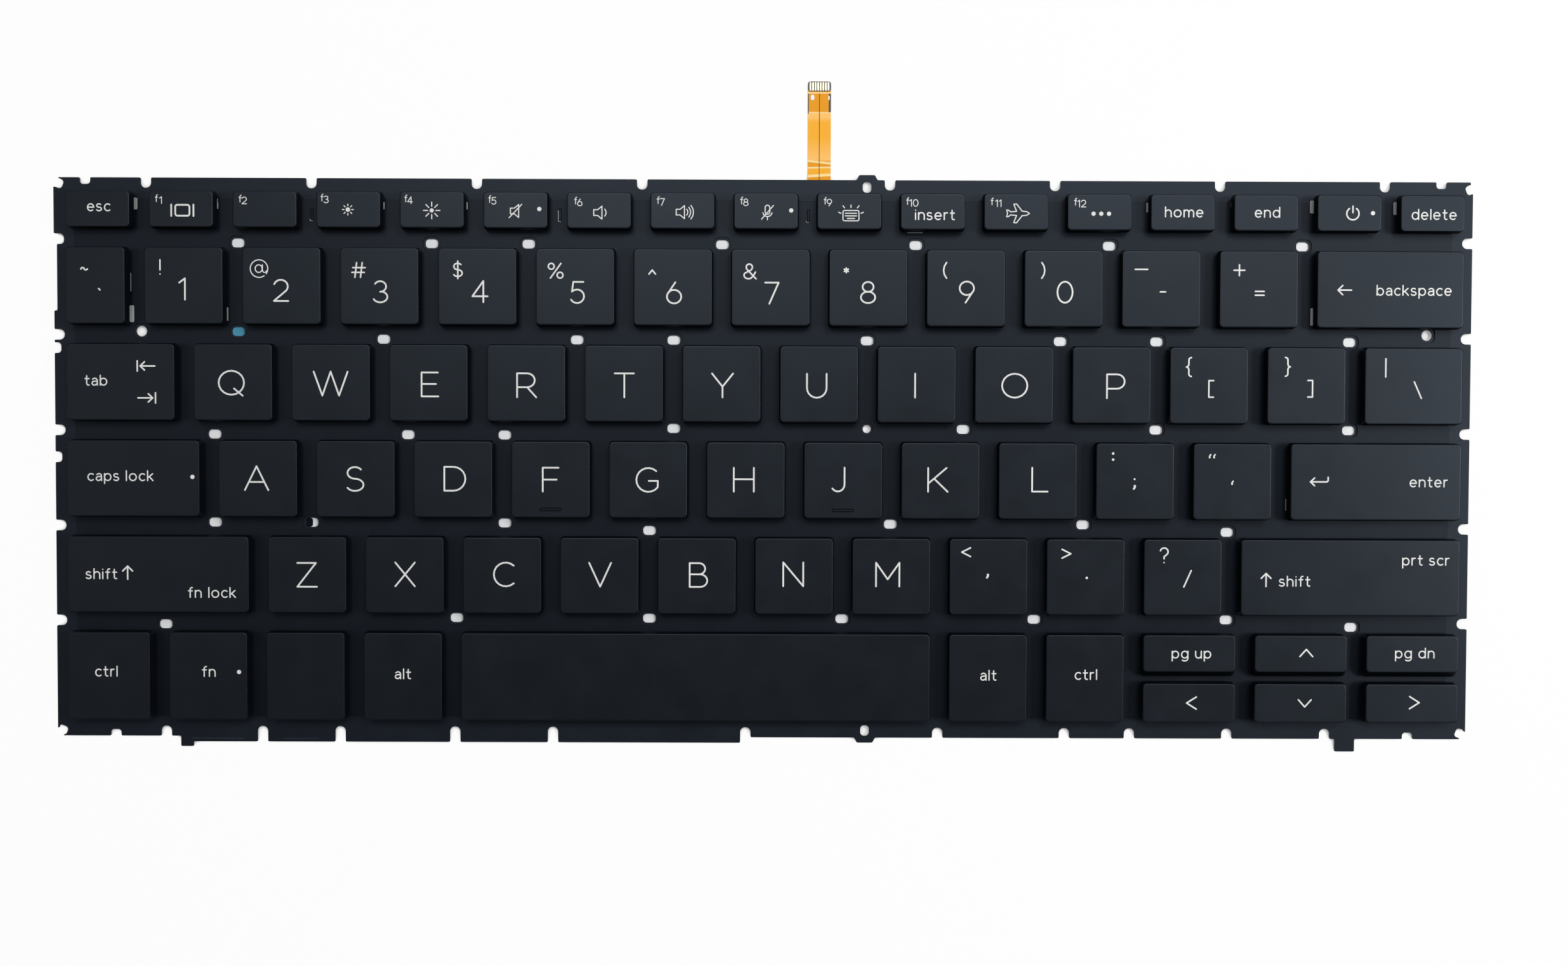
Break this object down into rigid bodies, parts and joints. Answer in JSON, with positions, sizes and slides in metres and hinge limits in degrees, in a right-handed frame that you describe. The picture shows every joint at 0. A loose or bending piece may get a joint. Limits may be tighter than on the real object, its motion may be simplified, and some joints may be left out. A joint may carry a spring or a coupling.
{
  "type": "laptop replacement keyboard",
  "caption": "Thin laptop keyboard assembly: low keycaps on scissor links and rubber domes over a notched plate with stake slots, a backlight sheet and a short flex ribbon.",
  "frame": {"origin": "centre of the support plate, on the underside of the backlight panel", "axes": "+X along the key rows, +Y towards the function row and the ribbon, +Z out of the key tops"},
  "size_m": [0.2784, 0.1317, 0.0047],
  "materials": {
    "keycap": "satin",
    "plate": "matte",
    "membrane": "matte",
    "panel": "satin",
    "ribbon": "gloss",
    "stiffener": "matte",
    "dome": "matte",
    "link": "satin",
    "wire": "satin"
  },
  "bodies": {
    "base": {"backlight_panel": "panel", "backlight_ribbon": "ribbon", "fixed_keys": "keycap", "inner_scissor_links": "link", "membrane_circuit": "membrane", "outer_scissor_links": "link", "ribbon_stiffener": "stiffener", "rubber_domes": "dome", "stabiliser_wires": "wire", "support_plate": "plate"},
    "key_0": {"key_0": "keycap"},
    "key_1": {"key_1": "keycap"},
    "key_2": {"key_2": "keycap"},
    "key_3": {"key_3": "keycap"},
    "key_4": {"key_4": "keycap"},
    "key_5": {"key_5": "keycap"},
    "key_6": {"key_6": "keycap"},
    "key_7": {"key_7": "keycap"},
    "key_8": {"key_8": "keycap"},
    "key_9": {"key_9": "keycap"},
    "key_a": {"key_a": "keycap"},
    "key_apostrophe": {"key_apostrophe": "keycap"},
    "key_b": {"key_b": "keycap"},
    "key_backslash": {"key_backslash": "keycap"},
    "key_backspace": {"key_backspace": "keycap"},
    "key_c": {"key_c": "keycap"},
    "key_comma": {"key_comma": "keycap"},
    "key_d": {"key_d": "keycap"},
    "key_e": {"key_e": "keycap"},
    "key_enter": {"key_enter": "keycap"},
    "key_equals": {"key_equals": "keycap"},
    "key_f": {"key_f": "keycap"},
    "key_g": {"key_g": "keycap"},
    "key_grave": {"key_grave": "keycap"},
    "key_h": {"key_h": "keycap"},
    "key_i": {"key_i": "keycap"},
    "key_j": {"key_j": "keycap"},
    "key_k": {"key_k": "keycap"},
    "key_l": {"key_l": "keycap"},
    "key_left_bracket": {"key_left_bracket": "keycap"},
    "key_m": {"key_m": "keycap"},
    "key_minus": {"key_minus": "keycap"},
    "key_n": {"key_n": "keycap"},
    "key_o": {"key_o": "keycap"},
    "key_p": {"key_p": "keycap"},
    "key_period": {"key_period": "keycap"},
    "key_q": {"key_q": "keycap"},
    "key_r": {"key_r": "keycap"},
    "key_right_bracket": {"key_right_bracket": "keycap"},
    "key_s": {"key_s": "keycap"},
    "key_semicolon": {"key_semicolon": "keycap"},
    "key_slash": {"key_slash": "keycap"},
    "key_space": {"key_space": "keycap"},
    "key_t": {"key_t": "keycap"},
    "key_u": {"key_u": "keycap"},
    "key_v": {"key_v": "keycap"},
    "key_w": {"key_w": "keycap"},
    "key_x": {"key_x": "keycap"},
    "key_y": {"key_y": "keycap"},
    "key_z": {"key_z": "keycap"}
  },
  "joints": [
    {"name": "key_0_press", "type": "slide", "parent": "base", "child": "key_0", "axis": [0, 0, -1], "range_m": [0, 0.0013], "stiffness_N_per_m": 350, "deforming": ["rubber_domes", "outer_scissor_links", "inner_scissor_links"]},
    {"name": "key_1_press", "type": "slide", "parent": "base", "child": "key_1", "axis": [0, 0, -1], "range_m": [0, 0.0013], "stiffness_N_per_m": 350, "deforming": ["rubber_domes", "outer_scissor_links", "inner_scissor_links"]},
    {"name": "key_2_press", "type": "slide", "parent": "base", "child": "key_2", "axis": [0, 0, -1], "range_m": [0, 0.0013], "stiffness_N_per_m": 350, "deforming": ["rubber_domes", "outer_scissor_links", "inner_scissor_links"]},
    {"name": "key_3_press", "type": "slide", "parent": "base", "child": "key_3", "axis": [0, 0, -1], "range_m": [0, 0.0013], "stiffness_N_per_m": 350, "deforming": ["rubber_domes", "outer_scissor_links", "inner_scissor_links"]},
    {"name": "key_4_press", "type": "slide", "parent": "base", "child": "key_4", "axis": [0, 0, -1], "range_m": [0, 0.0013], "stiffness_N_per_m": 350, "deforming": ["rubber_domes", "outer_scissor_links", "inner_scissor_links"]},
    {"name": "key_5_press", "type": "slide", "parent": "base", "child": "key_5", "axis": [0, 0, -1], "range_m": [0, 0.0013], "stiffness_N_per_m": 350, "deforming": ["rubber_domes", "outer_scissor_links", "inner_scissor_links"]},
    {"name": "key_6_press", "type": "slide", "parent": "base", "child": "key_6", "axis": [0, 0, -1], "range_m": [0, 0.0013], "stiffness_N_per_m": 350, "deforming": ["rubber_domes", "outer_scissor_links", "inner_scissor_links"]},
    {"name": "key_7_press", "type": "slide", "parent": "base", "child": "key_7", "axis": [0, 0, -1], "range_m": [0, 0.0013], "stiffness_N_per_m": 350, "deforming": ["rubber_domes", "outer_scissor_links", "inner_scissor_links"]},
    {"name": "key_8_press", "type": "slide", "parent": "base", "child": "key_8", "axis": [0, 0, -1], "range_m": [0, 0.0013], "stiffness_N_per_m": 350, "deforming": ["rubber_domes", "outer_scissor_links", "inner_scissor_links"]},
    {"name": "key_9_press", "type": "slide", "parent": "base", "child": "key_9", "axis": [0, 0, -1], "range_m": [0, 0.0013], "stiffness_N_per_m": 350, "deforming": ["rubber_domes", "outer_scissor_links", "inner_scissor_links"]},
    {"name": "key_a_press", "type": "slide", "parent": "base", "child": "key_a", "axis": [0, 0, -1], "range_m": [0, 0.0013], "stiffness_N_per_m": 350, "deforming": ["rubber_domes", "outer_scissor_links", "inner_scissor_links"]},
    {"name": "key_apostrophe_press", "type": "slide", "parent": "base", "child": "key_apostrophe", "axis": [0, 0, -1], "range_m": [0, 0.0013], "stiffness_N_per_m": 350, "deforming": ["rubber_domes", "outer_scissor_links", "inner_scissor_links"]},
    {"name": "key_b_press", "type": "slide", "parent": "base", "child": "key_b", "axis": [0, 0, -1], "range_m": [0, 0.0013], "stiffness_N_per_m": 350, "deforming": ["rubber_domes", "outer_scissor_links", "inner_scissor_links"]},
    {"name": "key_backslash_press", "type": "slide", "parent": "base", "child": "key_backslash", "axis": [0, 0, -1], "range_m": [0, 0.0013], "stiffness_N_per_m": 350, "deforming": ["rubber_domes", "outer_scissor_links", "inner_scissor_links"]},
    {"name": "key_backspace_press", "type": "slide", "parent": "base", "child": "key_backspace", "axis": [0, 0, -1], "range_m": [0, 0.0013], "stiffness_N_per_m": 350, "deforming": ["rubber_domes", "outer_scissor_links", "inner_scissor_links", "stabiliser_wires"]},
    {"name": "key_c_press", "type": "slide", "parent": "base", "child": "key_c", "axis": [0, 0, -1], "range_m": [0, 0.0013], "stiffness_N_per_m": 350, "deforming": ["rubber_domes", "outer_scissor_links", "inner_scissor_links"]},
    {"name": "key_comma_press", "type": "slide", "parent": "base", "child": "key_comma", "axis": [0, 0, -1], "range_m": [0, 0.0013], "stiffness_N_per_m": 350, "deforming": ["rubber_domes", "outer_scissor_links", "inner_scissor_links"]},
    {"name": "key_d_press", "type": "slide", "parent": "base", "child": "key_d", "axis": [0, 0, -1], "range_m": [0, 0.0013], "stiffness_N_per_m": 350, "deforming": ["rubber_domes", "outer_scissor_links", "inner_scissor_links"]},
    {"name": "key_e_press", "type": "slide", "parent": "base", "child": "key_e", "axis": [0, 0, -1], "range_m": [0, 0.0013], "stiffness_N_per_m": 350, "deforming": ["rubber_domes", "outer_scissor_links", "inner_scissor_links"]},
    {"name": "key_enter_press", "type": "slide", "parent": "base", "child": "key_enter", "axis": [0, 0, -1], "range_m": [0, 0.0013], "stiffness_N_per_m": 350, "deforming": ["rubber_domes", "outer_scissor_links", "inner_scissor_links", "stabiliser_wires"]},
    {"name": "key_equals_press", "type": "slide", "parent": "base", "child": "key_equals", "axis": [0, 0, -1], "range_m": [0, 0.0013], "stiffness_N_per_m": 350, "deforming": ["rubber_domes", "outer_scissor_links", "inner_scissor_links"]},
    {"name": "key_f_press", "type": "slide", "parent": "base", "child": "key_f", "axis": [0, 0, -1], "range_m": [0, 0.0013], "stiffness_N_per_m": 350, "deforming": ["rubber_domes", "outer_scissor_links", "inner_scissor_links"]},
    {"name": "key_g_press", "type": "slide", "parent": "base", "child": "key_g", "axis": [0, 0, -1], "range_m": [0, 0.0013], "stiffness_N_per_m": 350, "deforming": ["rubber_domes", "outer_scissor_links", "inner_scissor_links"]},
    {"name": "key_grave_press", "type": "slide", "parent": "base", "child": "key_grave", "axis": [0, 0, -1], "range_m": [0, 0.0013], "stiffness_N_per_m": 350, "deforming": ["rubber_domes", "outer_scissor_links", "inner_scissor_links"]},
    {"name": "key_h_press", "type": "slide", "parent": "base", "child": "key_h", "axis": [0, 0, -1], "range_m": [0, 0.0013], "stiffness_N_per_m": 350, "deforming": ["rubber_domes", "outer_scissor_links", "inner_scissor_links"]},
    {"name": "key_i_press", "type": "slide", "parent": "base", "child": "key_i", "axis": [0, 0, -1], "range_m": [0, 0.0013], "stiffness_N_per_m": 350, "deforming": ["rubber_domes", "outer_scissor_links", "inner_scissor_links"]},
    {"name": "key_j_press", "type": "slide", "parent": "base", "child": "key_j", "axis": [0, 0, -1], "range_m": [0, 0.0013], "stiffness_N_per_m": 350, "deforming": ["rubber_domes", "outer_scissor_links", "inner_scissor_links"]},
    {"name": "key_k_press", "type": "slide", "parent": "base", "child": "key_k", "axis": [0, 0, -1], "range_m": [0, 0.0013], "stiffness_N_per_m": 350, "deforming": ["rubber_domes", "outer_scissor_links", "inner_scissor_links"]},
    {"name": "key_l_press", "type": "slide", "parent": "base", "child": "key_l", "axis": [0, 0, -1], "range_m": [0, 0.0013], "stiffness_N_per_m": 350, "deforming": ["rubber_domes", "outer_scissor_links", "inner_scissor_links"]},
    {"name": "key_left_bracket_press", "type": "slide", "parent": "base", "child": "key_left_bracket", "axis": [0, 0, -1], "range_m": [0, 0.0013], "stiffness_N_per_m": 350, "deforming": ["rubber_domes", "outer_scissor_links", "inner_scissor_links"]},
    {"name": "key_m_press", "type": "slide", "parent": "base", "child": "key_m", "axis": [0, 0, -1], "range_m": [0, 0.0013], "stiffness_N_per_m": 350, "deforming": ["rubber_domes", "outer_scissor_links", "inner_scissor_links"]},
    {"name": "key_minus_press", "type": "slide", "parent": "base", "child": "key_minus", "axis": [0, 0, -1], "range_m": [0, 0.0013], "stiffness_N_per_m": 350, "deforming": ["rubber_domes", "outer_scissor_links", "inner_scissor_links"]},
    {"name": "key_n_press", "type": "slide", "parent": "base", "child": "key_n", "axis": [0, 0, -1], "range_m": [0, 0.0013], "stiffness_N_per_m": 350, "deforming": ["rubber_domes", "outer_scissor_links", "inner_scissor_links"]},
    {"name": "key_o_press", "type": "slide", "parent": "base", "child": "key_o", "axis": [0, 0, -1], "range_m": [0, 0.0013], "stiffness_N_per_m": 350, "deforming": ["rubber_domes", "outer_scissor_links", "inner_scissor_links"]},
    {"name": "key_p_press", "type": "slide", "parent": "base", "child": "key_p", "axis": [0, 0, -1], "range_m": [0, 0.0013], "stiffness_N_per_m": 350, "deforming": ["rubber_domes", "outer_scissor_links", "inner_scissor_links"]},
    {"name": "key_period_press", "type": "slide", "parent": "base", "child": "key_period", "axis": [0, 0, -1], "range_m": [0, 0.0013], "stiffness_N_per_m": 350, "deforming": ["rubber_domes", "outer_scissor_links", "inner_scissor_links"]},
    {"name": "key_q_press", "type": "slide", "parent": "base", "child": "key_q", "axis": [0, 0, -1], "range_m": [0, 0.0013], "stiffness_N_per_m": 350, "deforming": ["rubber_domes", "outer_scissor_links", "inner_scissor_links"]},
    {"name": "key_r_press", "type": "slide", "parent": "base", "child": "key_r", "axis": [0, 0, -1], "range_m": [0, 0.0013], "stiffness_N_per_m": 350, "deforming": ["rubber_domes", "outer_scissor_links", "inner_scissor_links"]},
    {"name": "key_right_bracket_press", "type": "slide", "parent": "base", "child": "key_right_bracket", "axis": [0, 0, -1], "range_m": [0, 0.0013], "stiffness_N_per_m": 350, "deforming": ["rubber_domes", "outer_scissor_links", "inner_scissor_links"]},
    {"name": "key_s_press", "type": "slide", "parent": "base", "child": "key_s", "axis": [0, 0, -1], "range_m": [0, 0.0013], "stiffness_N_per_m": 350, "deforming": ["rubber_domes", "outer_scissor_links", "inner_scissor_links"]},
    {"name": "key_semicolon_press", "type": "slide", "parent": "base", "child": "key_semicolon", "axis": [0, 0, -1], "range_m": [0, 0.0013], "stiffness_N_per_m": 350, "deforming": ["rubber_domes", "outer_scissor_links", "inner_scissor_links"]},
    {"name": "key_slash_press", "type": "slide", "parent": "base", "child": "key_slash", "axis": [0, 0, -1], "range_m": [0, 0.0013], "stiffness_N_per_m": 350, "deforming": ["rubber_domes", "outer_scissor_links", "inner_scissor_links"]},
    {"name": "key_space_press", "type": "slide", "parent": "base", "child": "key_space", "axis": [0, 0, -1], "range_m": [0, 0.0013], "stiffness_N_per_m": 350, "deforming": ["rubber_domes", "outer_scissor_links", "inner_scissor_links", "stabiliser_wires"]},
    {"name": "key_t_press", "type": "slide", "parent": "base", "child": "key_t", "axis": [0, 0, -1], "range_m": [0, 0.0013], "stiffness_N_per_m": 350, "deforming": ["rubber_domes", "outer_scissor_links", "inner_scissor_links"]},
    {"name": "key_u_press", "type": "slide", "parent": "base", "child": "key_u", "axis": [0, 0, -1], "range_m": [0, 0.0013], "stiffness_N_per_m": 350, "deforming": ["rubber_domes", "outer_scissor_links", "inner_scissor_links"]},
    {"name": "key_v_press", "type": "slide", "parent": "base", "child": "key_v", "axis": [0, 0, -1], "range_m": [0, 0.0013], "stiffness_N_per_m": 350, "deforming": ["rubber_domes", "outer_scissor_links", "inner_scissor_links"]},
    {"name": "key_w_press", "type": "slide", "parent": "base", "child": "key_w", "axis": [0, 0, -1], "range_m": [0, 0.0013], "stiffness_N_per_m": 350, "deforming": ["rubber_domes", "outer_scissor_links", "inner_scissor_links"]},
    {"name": "key_x_press", "type": "slide", "parent": "base", "child": "key_x", "axis": [0, 0, -1], "range_m": [0, 0.0013], "stiffness_N_per_m": 350, "deforming": ["rubber_domes", "outer_scissor_links", "inner_scissor_links"]},
    {"name": "key_y_press", "type": "slide", "parent": "base", "child": "key_y", "axis": [0, 0, -1], "range_m": [0, 0.0013], "stiffness_N_per_m": 350, "deforming": ["rubber_domes", "outer_scissor_links", "inner_scissor_links"]},
    {"name": "key_z_press", "type": "slide", "parent": "base", "child": "key_z", "axis": [0, 0, -1], "range_m": [0, 0.0013], "stiffness_N_per_m": 350, "deforming": ["rubber_domes", "outer_scissor_links", "inner_scissor_links"]}
  ]
}
